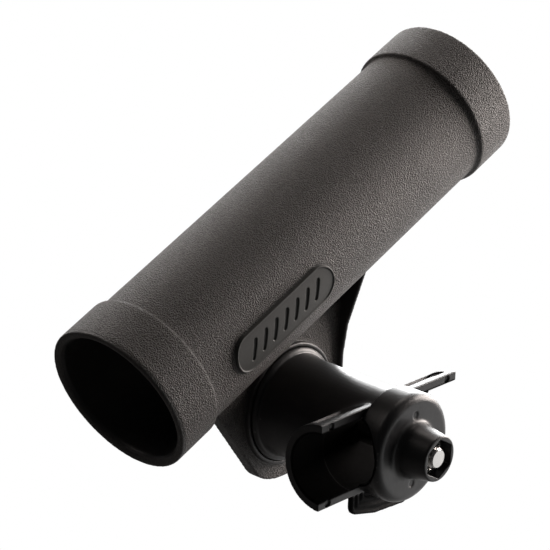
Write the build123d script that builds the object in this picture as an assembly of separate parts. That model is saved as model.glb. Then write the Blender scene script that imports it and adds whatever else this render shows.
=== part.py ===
from build123d import *
import math
import os

# Rod holder for a round rail: a tube on a side bracket, a clamp arm with a half-round
# saddle, and a cap that one long through-bolt pulls against the rail.
#
# Frame: millimetres. The origin is where the bolt's axis crosses the rail's axis, on the
# plane where saddle and cap part. +X runs along the rail, +Y along the bolt from the cap
# towards the rod tube, +Z is up.

# ---- driving dimensions ----
ROD_BORE_R = 25.4          # two-inch bore for a rod butt
RAIL_R = 12.7              # one-inch rail
BOLT_R = 3.97              # 5/16 inch bolt
TUBE_LENGTH = 192.4
TUBE_TILT = 24.0           # rod tube above the rail's direction, degrees

# rod tube
TUBE_WALL = 2.3
COLLAR_STEP = 1.5
COLLAR_LENGTH = 19.0
MOUTH_TO_PIVOT = 68.6      # from the mouth to the bolt's axis, along the tube
TUBE_OFFSET = 56.4         # from the bolt's axis up to the tube's axis
LIP_RADIUS = 2.8           # rounded lead-in at the mouth
STOP_DEPTH = 2.5           # ledge at the far end that a rod butt stands on
STOP_R = 20.0

# bracket plate under the tube
PLATE_FRONT = 48.5
PLATE_THICKNESS = 6.0
PLATE_END_R = 30.0
PLATE_LEFT_LEAN = 37.4     # left edge from the vertical, degrees
PLATE_LEFT_REACH = 26.9    # left edge from the bolt's axis
PLATE_LEFT_LENGTH = 42.0   # from its foot up into the tube's wall
PLATE_LEFT_CORNER = 12.0
PLATE_RIGHT = 29.3
RIB_THICKNESS = 1.7
RIB_FOOT = 7.5             # it fades out this far below the bolt's axis
RIB_LOW = 2.2              # height of the edge rib beside the bolt
RIB_LOW_TOP = 12.0         # it stays low up to here
RIB_KNEE = 3.8             # height where it starts to climb steeply
RIB_KNEE_TOP = 24.0
RIB_HIGH = 14.0            # height where it runs into the tube's wall
BACK_BOSS_R = 13.0
BACK_BOSS_HEIGHT = 2.5

# serrated tilt joint between bracket and arm
FLANGE_R = 21.7
FLANGE_THICKNESS = 3.0
FLANGE_EDGE = 1.0
CUP_RIM_R = 23.5
CUP_RIM_HEIGHT = 2.3
TOOTH_COUNT = 24
TOOTH_HEIGHT = 1.2
TOOTH_INNER_R = 12.0
TOOTH_OUTER_R = 20.0
TOOTH_LAND = 0.15          # flat left on each side of a tooth's foot
TIP_GAP = 0.1              # between tooth tips at rest
RUNNING_GAP = 0.08         # radial clearance of pilot and bolt bores

# arm and saddle
ARM_R = 18.3
ARM_LENGTH = 44.8          # from the parting plane to the flange
ARM_ROOT_R = 19.0
SWELL_LENGTH = 8.0         # concave swell between arm and flange
SWELL_END_R = 19.8
SADDLE_WALL = 3.55
SADDLE_HALF_LENGTH = 37.5
SADDLE_RELIEF = 0.5        # the rail bears on the two ends of the channel
RELIEF_HALF_LENGTH = 21.0
SOCKET_R = 1.5
SOCKET_DEPTH = 0.9
SOCKET_X = 32.3
POCKET_DEPTH = 1.1         # recess in the outside of each wing
POCKET_RIM = 1.6           # left standing next to the arm
POCKET_X = (12.0, 34.6)
POCKET_Y = (3.0, 10.0)
HEEL_HALF_WIDTH = 18.0     # ribbed heel under the saddle
HEEL_DEPTH_LEFT = 24.0     # how far it reaches below the rail's axis
HEEL_DEPTH_MIDDLE = 27.4
HEEL_DEPTH_RIGHT = 28.5
HEEL_MIDDLE_X = -4.5
HEEL_RIGHT_X = 12.6
HEEL_CORNER = 3.5
HEEL_Y = (0.5, 4.4)
HEEL_RIM = 1.3             # width of its rim and ribs
HEEL_RIB_COUNT = 3
HEEL_CORING = 0.9          # depth between them

# clamp cap
CAP_R = 20.4
CAP_THICKNESS = 11.5
CAP_EDGE = 3.4
CAP_GROOVE_SET = 3.0       # the groove's axis lies this far towards the saddle
NOSE_ROOT_R = 10.4
NOSE_TIP_R = 8.4
NOSE_LENGTH = 11.6
NOSE_FOOT = 0.8            # small step round the nose's foot
POCKET_FLOOR = 12.9
DIMPLE_R = 1.5
DIMPLE_DEPTH = 0.4
DIMPLE_Z = 13.1

# fasteners
HEX_ACROSS_FLATS = 12.7
HEX_GAP = 0.1
HEX_CHAMFER = 0.6          # along the bolt
HEX_FACE_SET = 0.1         # the round end faces lie this far inside the flats
NUT_HEIGHT = 6.7
HEAD_HEIGHT = 5.4
WASHER_R = 8.7
WASHER_THICKNESS = 1.6
BOLT_TIP = 22.7            # how far the bolt's end stands in front of the rail's axis
BOLT_TIP_CHAMFER = 0.8

# badge pad on the tube, with a plain slanted-bar motif
BADGE_LENGTH = 54.5
BADGE_WIDTH = 16.0
BADGE_CENTRE = -9.5
BADGE_HEIGHT = 0.7
BADGE_BEAD = 1.2
BADGE_BEAD_HEIGHT = 0.4    # above the pad
BAR_COUNT = 7
BAR_PITCH = 5.8
BAR_SIZE = (8.6, 1.9)
BAR_SLANT = 62.0
BAR_FLOOR = 0.1            # skin left under a sunken bar

# ---- worked out from the above ----
TUBE_R = ROD_BORE_R + TUBE_WALL
COLLAR_R = TUBE_R + COLLAR_STEP
PLATE_BACK = PLATE_FRONT + PLATE_THICKNESS
TUBE_Y = PLATE_FRONT + PLATE_THICKNESS / 2
BACK_BOSS_FACE = PLATE_BACK + BACK_BOSS_HEIGHT
BOLT_BORE_R = BOLT_R + RUNNING_GAP
CUP_R = FLANGE_R + RUNNING_GAP
FLANGE_BACK = ARM_LENGTH + FLANGE_THICKNESS
CUP_FLOOR = FLANGE_BACK + 2 * TOOTH_HEIGHT + TIP_GAP
SADDLE_R = RAIL_R + SADDLE_WALL
WASHER_BACK = BACK_BOSS_FACE + WASHER_THICKNESS

LONG = 200.0               # longer than any feature it cuts or crosses
OVERLAP = 1.0              # how far fused features reach into each other
PAST = 1.0                 # how far a cut starts or ends outside what it cuts
SMALL_EDGE = 0.5           # radius of the small moulded edges


def along_x(radius, start, end, y=0.0, z=0.0):
    """Solid cylinder parallel to X, from start to end."""
    return Pos((start + end) / 2, y, z) * Rot(0, 90, 0) * Cylinder(radius, end - start)


def along_y(radius, start, end):
    """Solid cylinder on the bolt's axis, from start to end."""
    return Pos(0, (start + end) / 2, 0) * Rot(90, 0, 0) * Cylinder(radius, end - start)


def cone_y(radius_start, radius_end, start, end):
    """Solid cone on the bolt's axis, from start to end."""
    placed = Pos(0, (start + end) / 2, 0) * Rot(-90, 0, 0)
    return placed * Cone(radius_start, radius_end, end - start)


def hexagon_y(across_flats, start, end):
    """Hexagonal prism on the bolt's axis with two corners up and down."""
    outline = RegularPolygon(across_flats / 2, 6, major_radius=False, rotation=30)
    return Pos(0, end, 0) * Rot(90, 0, 0) * extrude(outline, end - start)


def tooth_ring(base, direction, turn):
    """Radial teeth that rise along Y from base; turn offsets the ring by an angle."""
    half_pitch = math.radians(180 / TOOTH_COUNT)
    sections = []
    for radius in (TOOTH_INNER_R, TOOTH_OUTER_R):
        half_width = radius * math.tan(half_pitch) - TOOTH_LAND
        foot = base - direction * OVERLAP
        corners = [
            (radius, foot, -half_width),
            (radius, base, -half_width),
            (radius, base + direction * TOOTH_HEIGHT, 0),
            (radius, base, half_width),
            (radius, foot, half_width),
        ]
        sections.append(Face(Wire.make_polygon([Vector(*c) for c in corners], close=True)))
    tooth = loft(sections, ruled=True)
    return [Rot(0, turn + k * 360 / TOOTH_COUNT, 0) * tooth for k in range(TOOTH_COUNT)]


# ---- rod tube with its bracket, one moulding ----
def tube_shell():
    """Tube with a collar at each end, along X in its own untilted place."""
    start = -MOUTH_TO_PIVOT
    end = start + TUBE_LENGTH
    shell = along_x(TUBE_R, start + OVERLAP, end - OVERLAP)
    for collar_start in (start, end - COLLAR_LENGTH):
        collar = along_x(COLLAR_R, collar_start, collar_start + COLLAR_LENGTH)
        shell += fillet(collar.edges().filter_by(GeomType.CIRCLE), SMALL_EDGE)
    return Pos(0, TUBE_Y, TUBE_OFFSET) * shell


def badge():
    """Raised stadium pad with a bead round its edge and sunken slanted bars."""
    base_r = TUBE_R + BADGE_HEIGHT
    axis = Pos(0, TUBE_Y, TUBE_OFFSET)
    face = Plane(origin=(BADGE_CENTRE, 0, TUBE_OFFSET), x_dir=(1, 0, 0), z_dir=(0, -1, 0))
    outer = SlotOverall(BADGE_LENGTH, BADGE_WIDTH)
    inner = SlotOverall(BADGE_LENGTH - 2 * BADGE_BEAD, BADGE_WIDTH - 2 * BADGE_BEAD)
    reach = -TUBE_Y                      # from the rail's plane back to the tube's axis
    pad = extrude(face * outer, reach) & axis * along_x(base_r, -LONG, LONG)
    bead = extrude(face * (outer - inner), reach)
    bead &= axis * along_x(base_r + BADGE_BEAD_HEIGHT, -LONG, LONG)
    bars = []
    for k in range(BAR_COUNT):
        place = Pos((k - (BAR_COUNT - 1) / 2) * BAR_PITCH, 0) * Rot(0, 0, BAR_SLANT)
        bars.append(extrude(face * place * SlotOverall(*BAR_SIZE), reach))
    sunk = Part() + bars
    sunk -= axis * along_x(TUBE_R + BAR_FLOOR, -LONG, LONG)
    return pad + bead - sunk


def bracket():
    """Plate from the tube down past the bolt, with an edge rib, a cup and a back boss."""
    lean = math.radians(PLATE_LEFT_LEAN)
    edge = Vector(-math.sin(lean), math.cos(lean))
    foot = Vector(-math.cos(lean), -math.sin(lean)) * PLATE_LEFT_REACH
    half_chord = math.sqrt(PLATE_END_R**2 - PLATE_LEFT_REACH**2)
    low_left = foot - edge * half_chord
    top_left = foot + edge * PLATE_LEFT_LENGTH
    low_right = Vector(PLATE_RIGHT, -math.sqrt(PLATE_END_R**2 - PLATE_RIGHT**2))
    top_right = Vector(PLATE_RIGHT, TUBE_OFFSET)
    outline = (
        Line(top_left, low_left)
        + ThreePointArc(low_left, (0, -PLATE_END_R), low_right)
        + Line(low_right, top_right)
        + Line(top_right, top_left)
    )
    sheet = Plane(origin=(0, PLATE_BACK, 0), x_dir=(1, 0, 0), z_dir=(0, -1, 0))
    plate = extrude(sheet * make_face(outline), PLATE_THICKNESS)
    corner = [e for e in plate.edges().filter_by(Axis.Y) if e.center().Z < 0]
    plate = fillet(corner, PLATE_LEFT_CORNER)

    rib_outline = Polyline(
        (PLATE_FRONT + OVERLAP, -RIB_FOOT),
        (PLATE_FRONT - RIB_LOW, 0),
        (PLATE_FRONT - RIB_LOW, RIB_LOW_TOP),
        (PLATE_FRONT - RIB_KNEE, RIB_KNEE_TOP),
        (PLATE_FRONT - RIB_HIGH, TUBE_OFFSET),
        (PLATE_FRONT + OVERLAP, TUBE_OFFSET),
        close=True,
    )
    rib_plane = Plane(origin=(PLATE_RIGHT - RIB_THICKNESS, 0, 0), x_dir=(0, 1, 0), z_dir=(1, 0, 0))
    rib = extrude(rib_plane * make_face(rib_outline), RIB_THICKNESS)

    rim = along_y(CUP_RIM_R, PLATE_FRONT - CUP_RIM_HEIGHT, PLATE_FRONT + OVERLAP)
    rim = fillet(rim.edges().group_by(Axis.Y)[0], SMALL_EDGE)
    back = along_y(BACK_BOSS_R, PLATE_BACK - OVERLAP, BACK_BOSS_FACE)
    back = fillet(back.edges().group_by(Axis.Y)[-1], SMALL_EDGE)
    return plate + rib + rim + back


def rod_bore():
    """Everything that is cut away inside the tube, in its untilted place."""
    start = -MOUTH_TO_PIVOT
    stop = start + TUBE_LENGTH - STOP_DEPTH
    bore = along_x(ROD_BORE_R, start - PAST, stop)
    through = along_x(STOP_R, start - PAST, start + TUBE_LENGTH + PAST)
    ring = along_x(ROD_BORE_R + LIP_RADIUS, start - PAST, start + LIP_RADIUS)
    ring -= along_x(ROD_BORE_R - PAST, start - 2 * PAST, start + LIP_RADIUS + PAST)
    roll = Pos(start + LIP_RADIUS, 0, 0) * Rot(0, 90, 0) * Torus(ROD_BORE_R + LIP_RADIUS, LIP_RADIUS)
    return Pos(0, TUBE_Y, TUBE_OFFSET) * (bore + through + (ring - roll))


def make_rod_tube():
    tilt = Rot(0, -TUBE_TILT, 0)
    body = tilt * (tube_shell() + badge()) + bracket()
    body -= tilt * rod_bore()
    body -= along_y(CUP_R, 0, CUP_FLOOR)
    body += tooth_ring(CUP_FLOOR, -1, 180 / TOOTH_COUNT)
    return body - along_y(BOLT_BORE_R, 0, LONG)


# ---- clamp arm with the half-round saddle ----
def arm_and_flange():
    """Arm that swells into the flange of the tilt joint."""
    swell_start = ARM_LENGTH - SWELL_LENGTH
    profile = Polyline(
        (SWELL_END_R, ARM_LENGTH),
        (FLANGE_R - FLANGE_EDGE, ARM_LENGTH),
        (FLANGE_R, ARM_LENGTH + FLANGE_EDGE),
        (FLANGE_R, FLANGE_BACK),
        (0, FLANGE_BACK),
        (0, 0),
        (ARM_R, 0),
        (ARM_ROOT_R, swell_start),
    )
    swell_end = (SWELL_END_R, ARM_LENGTH)
    profile += TangentArc((ARM_ROOT_R, swell_start), swell_end, tangent=(0, 1))
    return revolve(make_face(profile), Axis.Y)


def heel():
    """Pad under the saddle whose front is cored out, with ribs across the coring."""
    corners = [
        (-HEEL_HALF_WIDTH, -SADDLE_R / 2),
        (-HEEL_HALF_WIDTH, -HEEL_DEPTH_LEFT),
        (HEEL_MIDDLE_X, -HEEL_DEPTH_MIDDLE),
        (HEEL_RIGHT_X, -HEEL_DEPTH_RIGHT),
        (HEEL_HALF_WIDTH, -HEEL_DEPTH_LEFT),
        (HEEL_HALF_WIDTH, -SADDLE_R / 2),
    ]
    outline = make_face(Polyline(*corners, close=True))
    low = [v for v in outline.vertices() if v.Y < -SADDLE_R]
    outline = fillet(low, HEEL_CORNER)
    front, back = HEEL_Y
    sheet = Plane(origin=(0, back, 0), x_dir=(1, 0, 0), z_dir=(0, -1, 0))
    pad = extrude(sheet * outline, back - front)
    for k in range(HEEL_RIB_COUNT):
        outer = offset(outline, -HEEL_RIM * (2 * k + 1), kind=Kind.INTERSECTION)
        inner = offset(outline, -HEEL_RIM * (2 * k + 2), kind=Kind.INTERSECTION)
        groove = extrude(sheet * (outer - inner), back - front)
        pad -= groove & Pos(0, front, 0) * Box(LONG, 2 * HEEL_CORING, LONG)
    return pad


def make_saddle_arm():
    pipe = along_x(SADDLE_R, -SADDLE_HALF_LENGTH, SADDLE_HALF_LENGTH)
    pipe &= Pos(0, LONG / 2, 0) * Box(LONG, LONG, LONG)
    body = arm_and_flange() + pipe + heel()

    low_x, high_x = POCKET_X
    low_y, high_y = POCKET_Y
    core = along_x(SADDLE_R - POCKET_DEPTH, -LONG, LONG)
    around_arm = along_y(ARM_R + POCKET_RIM, 0, ARM_LENGTH)
    for side in (-1, 1):
        for up in (-1, 1):
            block = Box(high_x - low_x, high_y - low_y, SADDLE_R)
            block = Pos(side * (low_x + high_x) / 2, (low_y + high_y) / 2, up * SADDLE_R) * block
            body -= block - core - around_arm
            socket = Pos(side * SOCKET_X, SOCKET_DEPTH / 2, up * (RAIL_R + SADDLE_WALL / 2))
            body -= socket * Rot(90, 0, 0) * Cylinder(SOCKET_R, SOCKET_DEPTH)

    body -= along_x(RAIL_R, -LONG, LONG)
    body -= along_x(RAIL_R + SADDLE_RELIEF, -RELIEF_HALF_LENGTH, RELIEF_HALF_LENGTH)
    body += tooth_ring(FLANGE_BACK, 1, 0)
    return body - along_y(BOLT_BORE_R, -LONG, LONG)


# ---- clamp cap ----
def make_clamp_cap():
    disc = along_y(CAP_R, -CAP_THICKNESS, 0)
    disc = fillet(disc.edges().group_by(Axis.Y)[0], CAP_EDGE)
    tip = -(CAP_THICKNESS + NOSE_LENGTH)
    nose = cone_y(NOSE_TIP_R, NOSE_ROOT_R, tip, -CAP_THICKNESS)
    nose = fillet(nose.edges().group_by(Axis.Y)[0], SMALL_EDGE)
    foot_front = -CAP_THICKNESS - NOSE_FOOT
    foot = cone_y(NOSE_ROOT_R, NOSE_ROOT_R + NOSE_FOOT, foot_front, -CAP_THICKNESS)
    body = disc + nose + foot
    body -= along_x(RAIL_R, -LONG, LONG, y=CAP_GROOVE_SET)
    body -= hexagon_y(HEX_ACROSS_FLATS + 2 * HEX_GAP, tip - PAST, -POCKET_FLOOR)
    for up in (-1, 1):
        spot = Pos(0, -CAP_THICKNESS, up * DIMPLE_Z) * Rot(90, 0, 0)
        body -= spot * Cylinder(DIMPLE_R, 2 * DIMPLE_DEPTH)
    return body - along_y(BOLT_BORE_R, -LONG, LONG)


# ---- fasteners ----
def chamfered_hexagon(start, end):
    """Hexagon prism whose corners are turned off at both ends."""
    flat_r = HEX_ACROSS_FLATS / 2 - HEX_FACE_SET
    corner_r = HEX_ACROSS_FLATS / math.sqrt(3)
    profile = Polyline(
        (0, start),
        (flat_r, start),
        (corner_r, start + HEX_CHAMFER),
        (corner_r, end - HEX_CHAMFER),
        (flat_r, end),
        (0, end),
        close=True,
    )
    return hexagon_y(HEX_ACROSS_FLATS, start, end) & revolve(make_face(profile), Axis.Y)


def make_hex_nut():
    start = -POCKET_FLOOR - NUT_HEIGHT
    return chamfered_hexagon(start, -POCKET_FLOOR) - along_y(BOLT_BORE_R, -LONG, LONG)


def make_clamp_bolt():
    head = chamfered_hexagon(WASHER_BACK, WASHER_BACK + HEAD_HEIGHT)
    shank = along_y(BOLT_R, -BOLT_TIP, WASHER_BACK)
    shank = chamfer(shank.edges().group_by(Axis.Y)[0], BOLT_TIP_CHAMFER)
    return head + shank


def make_head_washer():
    ring = along_y(WASHER_R, BACK_BOSS_FACE, WASHER_BACK)
    return ring - along_y(BOLT_BORE_R, -LONG, LONG)


os.makedirs("parts", exist_ok=True)
parts = {
    "rod_tube": make_rod_tube(),
    "saddle_arm": make_saddle_arm(),
    "clamp_cap": make_clamp_cap(),
    "clamp_bolt": make_clamp_bolt(),
    "head_washer": make_head_washer(),
    "hex_nut": make_hex_nut(),
}
for name, shape in parts.items():
    export_step(shape, f"parts/{name}.step")
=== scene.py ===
import math

import bmesh
import bpy
import numpy as np
from mathutils import Matrix, Vector


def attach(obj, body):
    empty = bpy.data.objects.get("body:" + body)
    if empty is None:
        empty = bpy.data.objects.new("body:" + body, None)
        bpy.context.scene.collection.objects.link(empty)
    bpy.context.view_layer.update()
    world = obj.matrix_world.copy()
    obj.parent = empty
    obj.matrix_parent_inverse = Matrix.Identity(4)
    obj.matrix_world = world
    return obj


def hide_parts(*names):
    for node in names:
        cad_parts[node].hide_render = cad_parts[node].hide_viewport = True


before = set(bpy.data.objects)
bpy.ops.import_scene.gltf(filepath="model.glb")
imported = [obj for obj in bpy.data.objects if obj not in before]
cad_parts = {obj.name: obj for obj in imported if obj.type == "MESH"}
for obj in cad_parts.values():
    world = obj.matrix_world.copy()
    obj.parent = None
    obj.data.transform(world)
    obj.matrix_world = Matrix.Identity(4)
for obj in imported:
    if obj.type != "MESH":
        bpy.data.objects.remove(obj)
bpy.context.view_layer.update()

MM = 0.001

# ---- sizes shared with the CAD part, in metres ----
TUBE_TILT = math.radians(24.0)
TUBE_R = 27.7 * MM
COLLAR_R = 29.2 * MM
ROD_BORE_R = 25.4 * MM
TUBE_Y = 51.5 * MM
TUBE_OFFSET = 56.4 * MM
MOUTH_TO_PIVOT = 68.6 * MM
TUBE_LENGTH = 192.4 * MM
PLATE_FRONT = 48.5 * MM
PLATE_BACK = 54.5 * MM
PLATE_RIGHT = 29.3 * MM
CUP_RIM_R = 23.5 * MM
BADGE_CENTRE = -9.5 * MM
BADGE_LENGTH = 54.5 * MM
BADGE_WIDTH = 16.0 * MM
BADGE_HEIGHT = 0.7 * MM
BADGE_BEAD_HEIGHT = 0.4 * MM
BAR_COUNT = 7
BAR_PITCH = 5.8 * MM
BAR_SIZE = (8.6 * MM, 1.9 * MM)
BAR_SLANT = math.radians(62.0)
BAR_FLOOR = 0.1 * MM
ARM_R = 18.3 * MM
FLANGE_R = 21.7 * MM
FLANGE_BACK = 47.8 * MM
FLANGE_THICKNESS = 3.0 * MM
RAIL_R = 12.7 * MM
SADDLE_R = 16.25 * MM
HEEL_FRONT = 0.5 * MM
CAP_THICKNESS = 11.5 * MM
CAP_GROOVE_SET = 3.0 * MM  # the cap's groove is centred this far behind the rail's axis
NOSE_ROOT_R = 10.4 * MM
BOLT_R = 3.97 * MM
BOLT_TIP = -22.7 * MM
HEX_FLATS = 12.7 * MM
HEX_CHAMFER = 0.6 * MM
WASHER_FRONT = 57.0 * MM
HEAD_FRONT = 58.6 * MM
HEAD_BACK = 64.0 * MM
NUT_BACK = -12.9 * MM
NUT_FRONT = -19.6 * MM
WASHER_R = 8.7 * MM
WASHER_HOLE_R = 4.05 * MM

# ---- sizes of the detail that only the visual pieces have ----
MOUTH_POLISH = 0.6          # the mouth's lip keeps a little of the grain
BADGE_BEAD = 1.4 * MM       # its bead is a little wider than the CAD's
BADGE_DRAFT = 0.4 * MM      # width of the badge's sloping sides
BADGE_MARGIN = 2.0 * MM     # the badge's surface is set out this far round it
BADGE_SIDE_Y = TUBE_Y - 15.0 * MM  # the tube's side that carries the badge is in front of this
FLANGE_EASE = 0.15 * MM     # the flange's edge is this much smaller than the CAD's
TOOTH_EASE = 0.3 * MM       # and its toothed face this much lower
HEEL_MATTE_AND_SHADE = 0.75           # how far the heel's cored front goes from satin to matte, and to its near-black painted shade
BOLT_PITCH = 1.411 * MM     # 18 threads per inch
THREAD_DEPTH = 0.75 * MM
THREAD_END = -0.5 * MM      # a thread 22.2 mm long
NUT_THREAD_GAP = 0.05 * MM  # the nut's crests clear the bolt's, so they never cross
NUT_MOUTH = 1.2 * MM        # countersink of the nut's thread, larger than the bolt's radius
HEX_FACE_SET = 0.1 * MM     # the round end faces lie this far inside the flats
HEAD_DISH = 0.15 * MM       # shallow dish in the top of the bolt's head
WASHER_ROLL = 0.35 * MM     # radius of the washer's rolled edge
FASTENER_SIDES = 96         # points round a turned part, a multiple of six
TUBE_VOXEL = 0.5 * MM
ARM_VOXEL = 0.35 * MM
CAP_VOXEL = 0.3 * MM
SHARP_EDGE = math.radians(28.0)  # a fastener's edge is shaded sharp from this angle on

TUBE_AXIS = np.array([math.cos(TUBE_TILT), 0.0, math.sin(TUBE_TILT)])
TUBE_UP = np.array([-math.sin(TUBE_TILT), 0.0, math.cos(TUBE_TILT)])
TUBE_CENTRE = TUBE_UP * TUBE_OFFSET + np.array([0.0, TUBE_Y, 0.0])


# ---- mesh helpers ----
def points_of(obj):
    """Vertex places as an array of rows."""
    places = np.zeros(len(obj.data.vertices) * 3, np.float32)
    obj.data.vertices.foreach_get("co", places)
    return places.reshape(-1, 3).astype(float)


def set_points(obj, places):
    obj.data.vertices.foreach_set("co", places.astype(np.float32).ravel())
    obj.data.update()


def remeshed_copy(node, name, voxel):
    """Copy of a CAD node as an even, welded mesh that can be softened and sculpted."""
    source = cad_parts[node]
    obj = bpy.data.objects.new(name, source.data.copy())
    obj.data.name = name
    obj.data.materials.clear()
    bpy.context.scene.collection.objects.link(obj)
    build = bmesh.new()
    build.from_mesh(obj.data)
    bmesh.ops.remove_doubles(build, verts=build.verts, dist=1e-6)
    build.to_mesh(obj.data)
    build.free()
    modifier = obj.modifiers.new("even", "REMESH")
    modifier.mode = "VOXEL"
    modifier.voxel_size = voxel
    modifier.use_smooth_shade = True
    graph = bpy.context.evaluated_depsgraph_get()
    even = bpy.data.meshes.new_from_object(obj.evaluated_get(graph))
    obj.modifiers.clear()
    obj.data = even
    even.name = name
    return obj


def soften(obj, weight, rounds):
    """Moves each vertex towards its neighbours' mean; weight is a number or one per vertex."""
    edges = np.zeros(len(obj.data.edges) * 2, np.int32)
    obj.data.edges.foreach_get("vertices", edges)
    first, second = edges.reshape(-1, 2).T
    places = points_of(obj)
    count = np.bincount(first, minlength=len(places)) + np.bincount(second, minlength=len(places))
    share = np.broadcast_to(np.asarray(weight, float), (len(places),))[:, None]
    for _ in range(rounds):
        total = np.zeros_like(places)
        for axis in range(3):
            total[:, axis] = np.bincount(first, places[second, axis], len(places))
            total[:, axis] += np.bincount(second, places[first, axis], len(places))
        places += share * (total / np.maximum(count, 1)[:, None] - places)
    set_points(obj, places)


def step_up(values, low, high):
    """0 up to low, rising smoothly to 1 at high."""
    t = np.clip((values - low) / (high - low), 0, 1)
    return t * t * (3 - 2 * t)


def near(distance, full, none):
    """1 up to full, falling smoothly to 0 at none."""
    return 1 - step_up(distance, full, none)


def store(obj, name, values):
    """Keeps one number per vertex for the material to read."""
    attribute = obj.data.attributes.new(name, "FLOAT", "POINT")
    attribute.data.foreach_set("value", np.asarray(values, np.float32))


def smooth_shaded(obj):
    for face in obj.data.polygons:
        face.use_smooth = True


# ---- material helpers ----
class Nodes:
    """Short way to add and wire the shader nodes of a material or of the world."""

    def __init__(self, owner, coordinates):
        owner.use_nodes = True
        self.owner = owner
        self.tree = owner.node_tree
        self.place = self.add("ShaderNodeTexCoord").outputs[coordinates]

    def add(self, kind, **settings):
        node = self.tree.nodes.new(kind)
        for key, value in settings.items():
            setattr(node, key, value)
        return node

    def join(self, source, target):
        self.tree.links.new(source, target)

    def scaled(self, x, y, z):
        node = self.add("ShaderNodeMapping")
        node.inputs["Scale"].default_value = (x, y, z)
        self.join(self.place, node.inputs["Vector"])
        return node.outputs["Vector"]

    def noise(self, scale, detail=2.0, roughness=0.5, vector=None):
        node = self.add("ShaderNodeTexNoise")
        node.inputs["Scale"].default_value = scale
        node.inputs["Detail"].default_value = detail
        node.inputs["Roughness"].default_value = roughness
        self.join(vector or self.place, node.inputs["Vector"])
        return node.outputs["Fac"]

    def cells(self, scale, smoothness=1.0):
        node = self.add("ShaderNodeTexVoronoi", feature="SMOOTH_F1")
        node.inputs["Scale"].default_value = scale
        node.inputs["Smoothness"].default_value = smoothness
        self.join(self.place, node.inputs["Vector"])
        return node.outputs["Distance"]

    def ramp(self, source, *stops):
        """stops are (position, grey or colour)."""
        node = self.add("ShaderNodeValToRGB")
        elements = node.color_ramp.elements
        while len(elements) < len(stops):
            elements.new(0.5)
        for element, (position, colour) in zip(elements, stops):
            element.position = position
            rgb = (colour,) * 3 if isinstance(colour, float) else colour
            element.color = (*rgb, 1.0)
        self.join(source, node.inputs["Fac"])
        return node.outputs["Color"]

    def attribute(self, name):
        """A number kept on each vertex by store()."""
        return self.add("ShaderNodeAttribute", attribute_name=name).outputs["Fac"]

    def maths(self, operation, first, second):
        node = self.add("ShaderNodeMath", operation=operation)
        for socket, value in zip(node.inputs, (first, second)):
            if isinstance(value, (int, float)):
                socket.default_value = value
            else:
                self.join(value, socket)
        return node.outputs["Value"]

    def mix(self, share, first, second, blend="MIX"):
        node = self.add("ShaderNodeMix", data_type="RGBA", blend_type=blend)
        for socket, value in ((node.inputs[0], share), (node.inputs[6], first), (node.inputs[7], second)):
            if isinstance(value, (int, float)):
                socket.default_value = value
            elif isinstance(value, tuple):
                socket.default_value = (*value, 1.0)
            else:
                self.join(value, socket)
        return node.outputs[2]

    def bump(self, height, distance, strength=1.0, below=None):
        node = self.add("ShaderNodeBump")
        node.inputs["Distance"].default_value = distance
        node.inputs["Strength"].default_value = strength
        self.join(height, node.inputs["Height"])
        if below is not None:
            self.join(below, node.inputs["Normal"])
        return node.outputs["Normal"]

    def worn_edges(self, low, high):
        """0 on flats, 1 on convex edges."""
        pointed = self.add("ShaderNodeNewGeometry").outputs["Pointiness"]
        return self.ramp(pointed, (low, 0.0), (high, 1.0))

    def finish(self, **inputs):
        """Gives the main shader its inputs, each a socket or a value, and returns the material."""
        shader = self.tree.nodes["Principled BSDF"]
        for name, value in inputs.items():
            socket = shader.inputs[name.replace("_", " ")]
            if isinstance(value, bpy.types.NodeSocket):
                self.join(value, socket)
            else:
                socket.default_value = value
        return self.owner


# ---- materials ----
GRAIN_CELLS = 2200.0       # pebbles of the moulded grain per metre
GRAIN_NOISE = 3400.0       # finer unevenness between them
GRAIN_DEPTH = 0.6 * MM
EDGE_WEAR = (0.53, 0.66)   # pointedness where an edge starts to look worn, and where it fully does
GRIP_SPECULAR = 0.03       # reflection left in the matte grip; plastic has PLASTIC_SPECULAR
PLASTIC_SPECULAR = 0.5


def new_material(name):
    return Nodes(bpy.data.materials.new(name), "Object")


def textured_plastic():
    """Warm black moulding: a leather-like grain, and darker smooth patches where grain is 0, which are
    partly the mould's polish and partly painted shade.
    """
    n = new_material("textured_plastic")
    grained = n.attribute("grain")
    badge = n.attribute("badge")
    pits = n.maths("ADD", n.cells(GRAIN_CELLS), n.maths("MULTIPLY", n.noise(GRAIN_NOISE, 2.0), 0.7))
    patches = n.noise(38.0, 3.0)
    colour = n.ramp(patches, (0.3, (0.066, 0.059, 0.054)), (0.7, (0.084, 0.075, 0.069)))
    in_pits = n.maths("MULTIPLY", n.ramp(pits, (0.45, 1.0), (0.85, 0.0)), grained)
    colour = n.mix(in_pits, colour, (0.012, 0.010, 0.009))
    # painted shade: ungrained faces get a darker colour, standing for shade in the bore, the bracket's
    # cup and its edge rib, and for the smoother polish of the mouth's lip
    colour = n.mix(n.maths("SUBTRACT", 1.0, grained), colour, (0.022, 0.021, 0.021))
    colour = n.mix(badge, colour, (0.034, 0.034, 0.031))
    colour = n.mix(n.worn_edges(*EDGE_WEAR), colour, (0.10, 0.095, 0.09))
    rough = n.ramp(n.noise(600.0, 4.0), (0.3, 0.46), (0.7, 0.60))
    rough = n.mix(grained, n.ramp(n.noise(900.0, 4.0), (0.3, 0.36), (0.7, 0.48)), rough)
    rough = n.mix(badge, rough, n.ramp(n.noise(900.0, 4.0), (0.3, 0.52), (0.7, 0.62)))
    depth = n.maths("MULTIPLY", pits, grained)
    normal = n.bump(depth, GRAIN_DEPTH, 1.0)
    normal = n.bump(n.noise(700.0, 2.0), 0.04 * MM, 0.5, below=normal)
    return n.finish(Base_Color=colour, Roughness=rough, Normal=normal)


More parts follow.
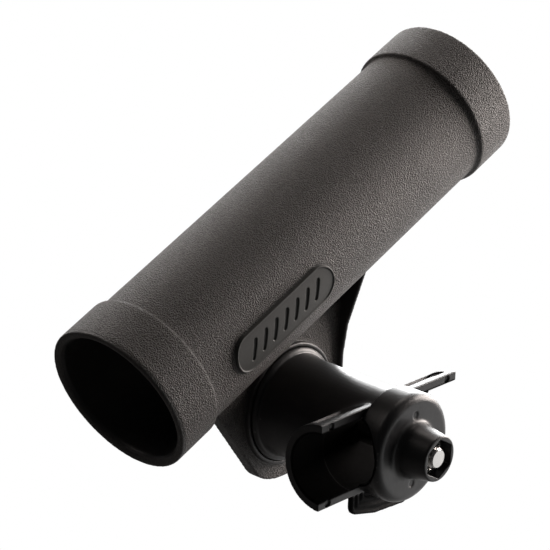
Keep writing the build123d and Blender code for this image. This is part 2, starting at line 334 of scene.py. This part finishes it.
def smooth_plastic():
    """Satin black moulding with a faint orange peel; matte where the rail lies, and there and on the
    heel's front also painted near-black as painted shade.
    """
    n = new_material("smooth_plastic")
    grip_and_painted_shade = n.attribute("grip_and_painted_shade")
    patches = n.noise(45.0, 3.0)
    colour = n.ramp(patches, (0.3, (0.016, 0.016, 0.017)), (0.7, (0.024, 0.024, 0.025)))
    colour = n.mix(n.worn_edges(*EDGE_WEAR), colour, (0.07, 0.07, 0.07))
    scratches = n.noise(260.0, 4.0, 0.6, n.scaled(1.0, 9.0, 1.0))
    rough = n.ramp(scratches, (0.35, 0.30), (0.65, 0.42))
    rough = n.mix(grip_and_painted_shade, rough, n.ramp(n.noise(900.0, 3.0), (0.3, 0.82), (0.7, 0.95)))
    # painted shade: the rail's channel, the cap's groove and the heel's front are painted near-black
    colour = n.mix(grip_and_painted_shade, colour, (0.006, 0.006, 0.006))
    dulled = n.maths("MULTIPLY", grip_and_painted_shade, PLASTIC_SPECULAR - GRIP_SPECULAR)
    specular = n.maths("SUBTRACT", PLASTIC_SPECULAR, dulled)
    normal = n.bump(n.noise(700.0, 2.0), 0.05 * MM, 0.5)
    return n.finish(Base_Color=colour, Roughness=rough, Specular_IOR_Level=specular, Normal=normal)


def stainless(name, axis_scale):
    """Turned stainless steel; axis_scale stretches the marks along the machining."""
    n = new_material(name)
    marks = n.noise(1500.0, 3.0, 0.6, n.scaled(*axis_scale))
    colour = n.ramp(n.noise(90.0, 3.0), (0.3, (0.60, 0.59, 0.57)), (0.7, (0.70, 0.69, 0.67)))
    rough = n.ramp(marks, (0.3, 0.16), (0.7, 0.26))
    normal = n.bump(marks, 0.004 * MM, 0.5)
    return n.finish(Base_Color=colour, Roughness=rough, Normal=normal, Metallic=1.0)


# ---- the rod tube and its bracket ----
def tube_coordinates(places):
    """Place along the tube, height above its axis, and distance from its axis."""
    offset = places - TUBE_CENTRE
    along = offset @ TUBE_AXIS
    height = offset @ TUBE_UP
    return along, height, np.hypot(height, offset[:, 1])


def stadium_depth(u, v, length, width):
    """How far a point is inside a stadium that is centred on 0; negative outside."""
    end = np.maximum(np.abs(u) - (length - width) / 2, 0)
    return width / 2 - np.hypot(end, v)


def badge_height(along, height):
    """Height of the badge over the tube's surface, and how far inside the badge each point is."""
    u, v = along - BADGE_CENTRE, height
    inside = stadium_depth(u, v, BADGE_LENGTH, BADGE_WIDTH)
    rise = step_up(inside, 0, BADGE_DRAFT) * BADGE_HEIGHT
    bead = step_up(inside, BADGE_DRAFT, 2 * BADGE_DRAFT)
    bead *= step_up(BADGE_BEAD - inside, 0, BADGE_DRAFT)
    rise += bead * BADGE_BEAD_HEIGHT
    for k in range(BAR_COUNT):
        x = u - (k - (BAR_COUNT - 1) / 2) * BAR_PITCH
        p = x * math.cos(BAR_SLANT) + v * math.sin(BAR_SLANT)
        q = v * math.cos(BAR_SLANT) - x * math.sin(BAR_SLANT)
        sunk = step_up(stadium_depth(p, q, *BAR_SIZE), 0, BADGE_DRAFT)
        rise = rise * (1 - sunk) + BAR_FLOOR * sunk
    return rise, inside


def fillet_bracket(obj):
    """Rounds the corner where the bracket's plate and edge rib run into the tube."""
    places = points_of(obj)
    _, _, radius = tube_coordinates(places)
    on_tube = near(np.abs(radius - TUBE_R), 1.5 * MM, 4 * MM)
    over_axis = places[:, 2] - (places[:, 0] * math.tan(TUBE_TILT) + TUBE_OFFSET)
    below = near(over_axis, -18 * MM, -12 * MM)
    by_plate = near(np.abs(places[:, 1] - PLATE_FRONT), 4 * MM, 9 * MM)
    by_plate += near(np.abs(places[:, 1] - PLATE_BACK), 3 * MM, 6 * MM)
    span = near(np.abs(places[:, 0]), 40 * MM, 46 * MM)
    soften(obj, 0.6 * np.clip(on_tube * below * by_plate * span, 0, 1), 40)


def refine_badge(obj):
    """Splits the faces under the badge, so that its bead and bars have enough points."""
    places = points_of(obj)
    along, height, _ = tube_coordinates(places)
    _, inside = badge_height(along, height)
    wanted = (inside > -1.2 * MM) & (places[:, 1] < BADGE_SIDE_Y)
    build = bmesh.new()
    build.from_mesh(obj.data)
    build.verts.ensure_lookup_table()
    faces = [f for f in build.faces if all(wanted[v.index] for v in f.verts)]
    edges = list({e for f in faces for e in f.edges})
    bmesh.ops.subdivide_edges(build, edges=edges, cuts=1, use_grid_fill=True)
    build.to_mesh(obj.data)
    build.free()
    smooth_shaded(obj)


def raise_badge(obj):
    """Sets the tube's surface under and round the badge to the badge's exact height."""
    places = points_of(obj)
    along, height, radius = tube_coordinates(places)
    rise, inside = badge_height(along, height)
    outside = (radius > TUBE_R - 0.6 * MM) & (places[:, 1] < TUBE_Y) & (inside > -BADGE_MARGIN)
    on_surface = near(np.abs(radius - TUBE_R - rise), 0.5 * MM, 1.2 * MM)
    scale = np.where(outside, 1 + ((TUBE_R + rise) / radius - 1) * on_surface, 1.0)
    foot = TUBE_CENTRE + along[:, None] * TUBE_AXIS
    set_points(obj, foot + (places - foot) * scale[:, None])


def map_tube_finish(obj, places):
    """Stores where the tube is grained and where its badge is, from where its points were. The ungrained
    faces are painted darker: the mouth's lip for its polish, the bore partly for its polish and partly as
    painted shade, the bracket's cup and its edge rib as painted shade.
    """
    along, height, radius = tube_coordinates(places)
    _, inside = badge_height(along, height)
    in_bore = near(radius, ROD_BORE_R + 0.5 * MM, ROD_BORE_R + 1.2 * MM)
    at_mouth = near(along + MOUTH_TO_PIVOT, 1.2 * MM, 2.2 * MM)
    on_badge = step_up(inside, -0.2 * MM, 0.2 * MM) * (places[:, 1] < BADGE_SIDE_Y)
    from_bolt = np.hypot(places[:, 0], places[:, 2])
    in_cup = near(from_bolt, CUP_RIM_R, CUP_RIM_R + 0.6 * MM) * (radius > TUBE_R + 1 * MM)
    on_rib = step_up(places[:, 0], PLATE_RIGHT - 2.4 * MM, PLATE_RIGHT - 1.8 * MM) * (radius > COLLAR_R)
    # the bore, the cup and the edge rib are painted darker as painted shade, the bore also for its
    # polish; the mouth's lip is darker only for its polish
    polish_and_painted_shade = np.maximum.reduce([in_bore, at_mouth * MOUTH_POLISH, on_badge, in_cup, on_rib])
    store(obj, "grain", 1 - polish_and_painted_shade)
    store(obj, "badge", on_badge)


def make_rod_tube():
    """Softened moulding with filleted joins, a crisp badge and a map of its grained faces."""
    obj = remeshed_copy("rod_tube", "rod_tube_moulding", TUBE_VOXEL)
    soften(obj, 0.5, 3)
    fillet_bracket(obj)
    refine_badge(obj)
    before_badge = points_of(obj)
    raise_badge(obj)
    map_tube_finish(obj, before_badge)
    return obj


# ---- the clamp ----
def in_channel(places, channel_y):
    """1 in the channel that the rail lies in; channel_y is where its axis is along the bolt."""
    from_axis = np.hypot(places[:, 1] - channel_y, places[:, 2])
    return near(from_axis, RAIL_R + 0.6 * MM, RAIL_R + 1.0 * MM)


def ease_flange(obj):
    """Holds the toothed face and the flange's edge off the bracket, whose teeth are softened too."""
    places = points_of(obj)
    from_bolt = np.hypot(places[:, 0], places[:, 2])
    in_cup = step_up(places[:, 1], FLANGE_BACK - FLANGE_THICKNESS / 2, FLANGE_BACK - FLANGE_THICKNESS / 4)
    shrink = 1 - in_cup * step_up(from_bolt, FLANGE_R - 1.0 * MM, FLANGE_R) * FLANGE_EASE / FLANGE_R
    places[:, 0] *= shrink
    places[:, 2] *= shrink
    places[:, 1] -= TOOTH_EASE * in_cup
    set_points(obj, places)


def make_saddle_arm():
    obj = remeshed_copy("saddle_arm", "saddle_arm_moulding", ARM_VOXEL)
    places = points_of(obj)
    from_bolt = np.hypot(places[:, 0], places[:, 2])
    from_rail = np.hypot(places[:, 1], places[:, 2])
    on_arm = near(np.abs(from_bolt - ARM_R), 1.2 * MM, 3.0 * MM)
    on_pipe = near(np.abs(from_rail - SADDLE_R), 1.2 * MM, 3.0 * MM)
    off_seam = step_up(places[:, 1], 1.5 * MM, 3.5 * MM)
    on_heel = near(places[:, 2], -SADDLE_R - 1.5 * MM, -SADDLE_R)
    soften(obj, 0.5, 2)
    soften(obj, 0.6 * on_arm * on_pipe * off_seam, 40)
    soften(obj, 0.5 * on_heel * near(places[:, 1], 4.5 * MM, 6.0 * MM), 8)
    ease_flange(obj)
    heel_front = on_heel * near(places[:, 1], HEEL_FRONT + 2.0 * MM, HEEL_FRONT + 3.0 * MM)
    # the channel and the heel's front turn matte and are painted darker as painted shade
    store(obj, "grip_and_painted_shade", np.maximum(in_channel(places, 0.0), heel_front * HEEL_MATTE_AND_SHADE))
    return obj


def make_clamp_cap():
    obj = remeshed_copy("clamp_cap", "clamp_cap_moulding", CAP_VOXEL)
    places = points_of(obj)
    from_bolt = np.hypot(places[:, 0], places[:, 2])
    at_nose = near(np.abs(from_bolt - NOSE_ROOT_R), 1.0 * MM, 2.5 * MM)
    at_nose *= near(np.abs(places[:, 1] + CAP_THICKNESS), 1.0 * MM, 2.5 * MM)
    soften(obj, 0.5, 2)
    soften(obj, 0.6 * at_nose, 16)
    # the cap's groove turns matte and is painted darker as painted shade
    store(obj, "grip_and_painted_shade", in_channel(places, CAP_GROOVE_SET))
    return obj


# ---- fasteners, turned about the bolt's axis ----
def turn_angles():
    return np.arange(FASTENER_SIDES) * 2 * math.pi / FASTENER_SIDES


def ring(y, radius):
    """Points round the bolt's axis; radius is one number or one per angle."""
    angles = turn_angles()
    radius = np.broadcast_to(radius, angles.shape)
    height = np.broadcast_to(y, angles.shape)
    return np.stack([radius * np.sin(angles), height, radius * np.cos(angles)], axis=1)


def skin(name, rings, closed):
    """Mesh through rings that run along the bolt; closed joins the last ring to the first."""
    count, sides = len(rings), FASTENER_SIDES
    faces = []
    for i in range(count if closed else count - 1):
        low, high = i * sides, (i + 1) % count * sides
        for j in range(sides):
            k = (j + 1) % sides
            faces.append((low + j, low + k, high + k, high + j))
    if not closed:
        faces.append(tuple(reversed(range(sides))))
        faces.append(tuple((count - 1) * sides + j for j in range(sides)))
    mesh = bpy.data.meshes.new(name)
    mesh.from_pydata(np.concatenate(rings).tolist(), [], faces)
    build = bmesh.new()
    build.from_mesh(mesh)
    bmesh.ops.recalc_face_normals(build, faces=build.faces)
    build.to_mesh(mesh)
    build.free()
    obj = bpy.data.objects.new(name, mesh)
    bpy.context.scene.collection.objects.link(obj)
    smooth_shaded(obj)
    mesh.set_sharp_from_angle(angle=SHARP_EDGE)
    return obj


def thread_radius(y):
    """Radius of the bolt's right-hand thread at height y, for every angle."""
    phase = (y / BOLT_PITCH - turn_angles() / (2 * math.pi)) % 1.0
    # straight flanks, cut off to a flat root at 0 and a flat crest at 1
    tooth = np.clip(1.3 * (1 - np.abs(2 * phase - 1)) - 0.15, 0, 1)
    return BOLT_R - THREAD_DEPTH * (1 - tooth)


def hexagon_radius(flats, y, start, end):
    """Radius of a hexagon with corners up and down, cut back by a chamfer at both ends."""
    angles = turn_angles() % (math.pi / 3) - math.pi / 6
    outline = flats / 2 / np.cos(angles)
    from_end = min(y - start, end - y)
    slope = (flats / math.sqrt(3) - flats / 2) / HEX_CHAMFER
    return np.minimum(outline, flats / 2 - HEX_FACE_SET + max(from_end, 0) * slope)


def hexagon_rings(start, end):
    steps = np.linspace(0, 1, 7)
    low = start + steps * HEX_CHAMFER * 1.2
    high = end - steps[::-1] * HEX_CHAMFER * 1.2
    return [ring(y, hexagon_radius(HEX_FLATS, y, start, end)) for y in (*low, *high)]


def make_clamp_bolt():
    """Hex bolt with a rolled thread at its front end."""
    rows = int((THREAD_END - BOLT_TIP) / (BOLT_PITCH / 10))
    rings = [ring(BOLT_TIP, BOLT_R * 0.4), ring(BOLT_TIP, BOLT_R - 1.25 * THREAD_DEPTH)]
    for y in np.linspace(BOLT_TIP, THREAD_END, rows):
        chamfer = BOLT_R - THREAD_DEPTH + (y - BOLT_TIP)
        rings.append(ring(y, np.minimum(thread_radius(y), chamfer)))
    rings += [ring(THREAD_END + THREAD_DEPTH, BOLT_R), ring(HEAD_FRONT - 0.6 * MM, BOLT_R)]
    rings.append(ring(HEAD_FRONT, BOLT_R + 0.5 * MM))
    rings += hexagon_rings(HEAD_FRONT, HEAD_BACK)
    rings += [ring(HEAD_BACK, HEX_FLATS * 0.42), ring(HEAD_BACK - HEAD_DISH, HEX_FLATS * 0.38)]
    rings.append(ring(HEAD_BACK - HEAD_DISH, HEX_FLATS * 0.1))
    return skin("clamp_bolt_threaded", rings, closed=False)


def make_hex_nut():
    """Nut with chamfered corners and a thread in its bore."""
    rings = hexagon_rings(NUT_FRONT, NUT_BACK)
    rows = int((NUT_BACK - NUT_FRONT) / (BOLT_PITCH / 8))
    for y in np.linspace(NUT_BACK, NUT_FRONT, rows):
        groove = thread_radius(y) + THREAD_DEPTH + NUT_THREAD_GAP
        mouth = BOLT_R + NUT_MOUTH - min(y - NUT_FRONT, NUT_BACK - y)
        rings.append(ring(y, np.maximum(groove, mouth)))
    return skin("hex_nut_threaded", rings, closed=True)


def make_head_washer():
    """Stamped washer: its edges roll over on the side towards the bolt's head."""
    front, back, roll = WASHER_FRONT, HEAD_FRONT, WASHER_ROLL
    outline = [(front, WASHER_HOLE_R), (front, WASHER_R - 0.1 * MM), (front + 0.1 * MM, WASHER_R)]
    for angle in np.linspace(0, math.pi / 2, 5):
        y = back - roll + roll * math.sin(angle)
        outline.append((y, WASHER_R - roll + roll * math.cos(angle)))
    outline += [(back, WASHER_HOLE_R + roll), (back - roll, WASHER_HOLE_R)]
    return skin("head_washer_stamped", [ring(y, r) for y, r in outline], closed=True)


# ---- pieces ----
steel = stainless("turned_steel", (1.0, 8.0, 1.0))
PIECES = [
    ("rod_tube", "tube", make_rod_tube, "textured_plastic", textured_plastic()),
    ("saddle_arm", "clamp_arm", make_saddle_arm, "smooth_plastic", smooth_plastic()),
    ("clamp_cap", "cap", make_clamp_cap, "smooth_plastic", smooth_plastic()),
    ("clamp_bolt", "bolt", make_clamp_bolt, "stainless", steel),
    ("hex_nut", "cap", make_hex_nut, "stainless", steel),
    ("head_washer", "lock_carrier", make_head_washer, "stainless", steel),
]
for node_name, body_name, make, slot_name, material in PIECES:
    piece = make()
    piece.data.materials.append(material)
    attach(piece, body_name)
    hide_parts(node_name)


# ---- camera, floor and light ----
WHITE = (1.0, 1.0, 1.0)
WARM = (1.0, 0.91, 0.86)
CAMERA_AZIMUTH = math.radians(-49.0)
CAMERA_ELEVATION = math.radians(19.5)
CAMERA_ROLL = math.radians(2.35)
CAMERA_DISTANCE = 884.8 * MM
CAMERA_LENS = 162.4
LOOK_AT = Vector((-13.7, 44.9, 53.9)) * MM


def camera_axes():
    """Right, up and back directions of the camera."""
    a, e, r = CAMERA_AZIMUTH, CAMERA_ELEVATION, CAMERA_ROLL
    back = Vector((math.sin(a) * math.cos(e), -math.cos(a) * math.cos(e), math.sin(e)))
    right = Vector((math.cos(a), math.sin(a), 0))
    up = back.cross(right)
    return right * math.cos(r) + up * math.sin(r), up * math.cos(r) - right * math.sin(r), back


RIGHT, UP, BACK = camera_axes()


def make_camera():
    data = bpy.data.cameras.new("camera")
    data.lens = CAMERA_LENS
    data.sensor_width = 36.0
    data.clip_start, data.clip_end = 0.01, 50.0
    camera = bpy.data.objects.new("camera", data)
    bpy.context.scene.collection.objects.link(camera)
    turn = Matrix((RIGHT, UP, BACK)).transposed().to_4x4()
    camera.matrix_world = Matrix.Translation(LOOK_AT + BACK * CAMERA_DISTANCE) @ turn
    bpy.context.scene.camera = camera


def softbox(name, right, up, back, size, power, colour=WHITE):
    """Square light facing the object, this far to its right, above and towards the camera."""
    data = bpy.data.lights.new(name, "AREA")
    data.shape = "SQUARE"
    data.size = size
    data.energy = power
    data.color = colour
    lamp = bpy.data.objects.new(name, data)
    lamp.visible_camera = False
    bpy.context.scene.collection.objects.link(lamp)
    lamp.location = LOOK_AT + RIGHT * right + UP * up + BACK * back
    lamp.rotation_mode = "QUATERNION"
    lamp.rotation_quaternion = (LOOK_AT - lamp.location).to_track_quat("-Z", "Y")


FLOOR_SIZE = 12.0          # each way, in metres
FLOOR_GAP = 5.0 * MM       # between the floor and the tube when it points straight down
FLOOR_BOUNCE = 0.1         # how pale the white floor is to the light that falls on the object
FLOOR_GLOW = 0.8           # light from the floor behind the object and to its right
FLOOR_GLOW_SPAN = (-0.05, 0.25)  # where that glow starts and where it is full, in metres
BACKDROP_GLOW = 1.5        # light from the backdrop behind the object
BACKDROP_SPAN = (0.2, 0.9)  # cosines from straight behind, where it starts and where it is full
ROOM_GLOW = 0.03           # light from the rest of the room


def rising_along(n, direction, near_side, far_side):
    """0 up to near_side, 1 beyond far_side, measured from the origin along the direction."""
    along = n.add("ShaderNodeVectorMath", operation="DOT_PRODUCT")
    n.join(n.place, along.inputs[0])
    along.inputs[1].default_value = direction
    span = n.add("ShaderNodeMapRange", interpolation_type="SMOOTHSTEP")
    span.inputs["From Min"].default_value = near_side
    span.inputs["From Max"].default_value = far_side
    n.join(along.outputs["Value"], span.inputs["Value"])
    return span.outputs["Result"]


def make_floor():
    """Evenly white to the camera, greyer to other rays so that undersides stay dark."""
    half = FLOOR_SIZE / 2
    mesh = bpy.data.meshes.new("floor")
    corners = [(-half, -half, 0), (half, -half, 0), (half, half, 0), (-half, half, 0)]
    mesh.from_pydata(corners, [], [(0, 1, 2, 3)])
    floor = bpy.data.objects.new("floor", mesh)
    reach = math.hypot(TUBE_LENGTH - MOUTH_TO_PIVOT, TUBE_OFFSET + COLLAR_R)
    floor.location.z = -reach - FLOOR_GAP
    bpy.context.scene.collection.objects.link(floor)
    n = new_material("floor_paper")
    seen = n.add("ShaderNodeLightPath").outputs["Is Camera Ray"]
    lit = rising_along(n, (RIGHT - BACK).normalized(), *FLOOR_GLOW_SPAN)
    glow = n.maths("MAXIMUM", seen, n.maths("MULTIPLY", lit, FLOOR_GLOW))
    colour = n.mix(seen, (FLOOR_BOUNCE,) * 3, (0.0, 0.0, 0.0))
    paper = n.finish(
        Base_Color=colour,
        Roughness=1.0,
        Specular_IOR_Level=0.0,
        Emission_Color=(*WHITE, 1.0),
        Emission_Strength=glow,
    )
    floor.data.materials.append(paper)


def make_world():
    """White to the camera; to other rays a bright backdrop behind the object in a dim room."""
    world = bpy.data.worlds.new("room")
    bpy.context.scene.world = world
    n = Nodes(world, "Generated")
    behind = rising_along(n, -BACK, *BACKDROP_SPAN)
    room = n.maths("MAXIMUM", n.maths("MULTIPLY", behind, BACKDROP_GLOW), ROOM_GLOW)
    seen = n.add("ShaderNodeLightPath").outputs["Is Camera Ray"]
    background = n.tree.nodes["Background"]
    background.inputs["Color"].default_value = (*WHITE, 1.0)
    n.join(n.maths("MAXIMUM", seen, room), background.inputs["Strength"])


make_floor()
make_camera()
make_world()
# distances and sizes in metres, powers in watts
softbox("key", 0.2, 0.85, -0.2, 0.5, 1.9, WARM)
softbox("right_side", 0.45, 0.15, -0.2, 0.3, 3.6, WARM)
softbox("front_top", -0.6, 0.7, 0.2, 0.4, 0.8, WARM)
softbox("left_rim", -0.35, 0.7, -0.45, 0.5, 2.8, WARM)
softbox("back_rim", 0.3, 0.4, -0.75, 0.6, 11.0)
bpy.context.scene.view_settings.view_transform = "Standard"
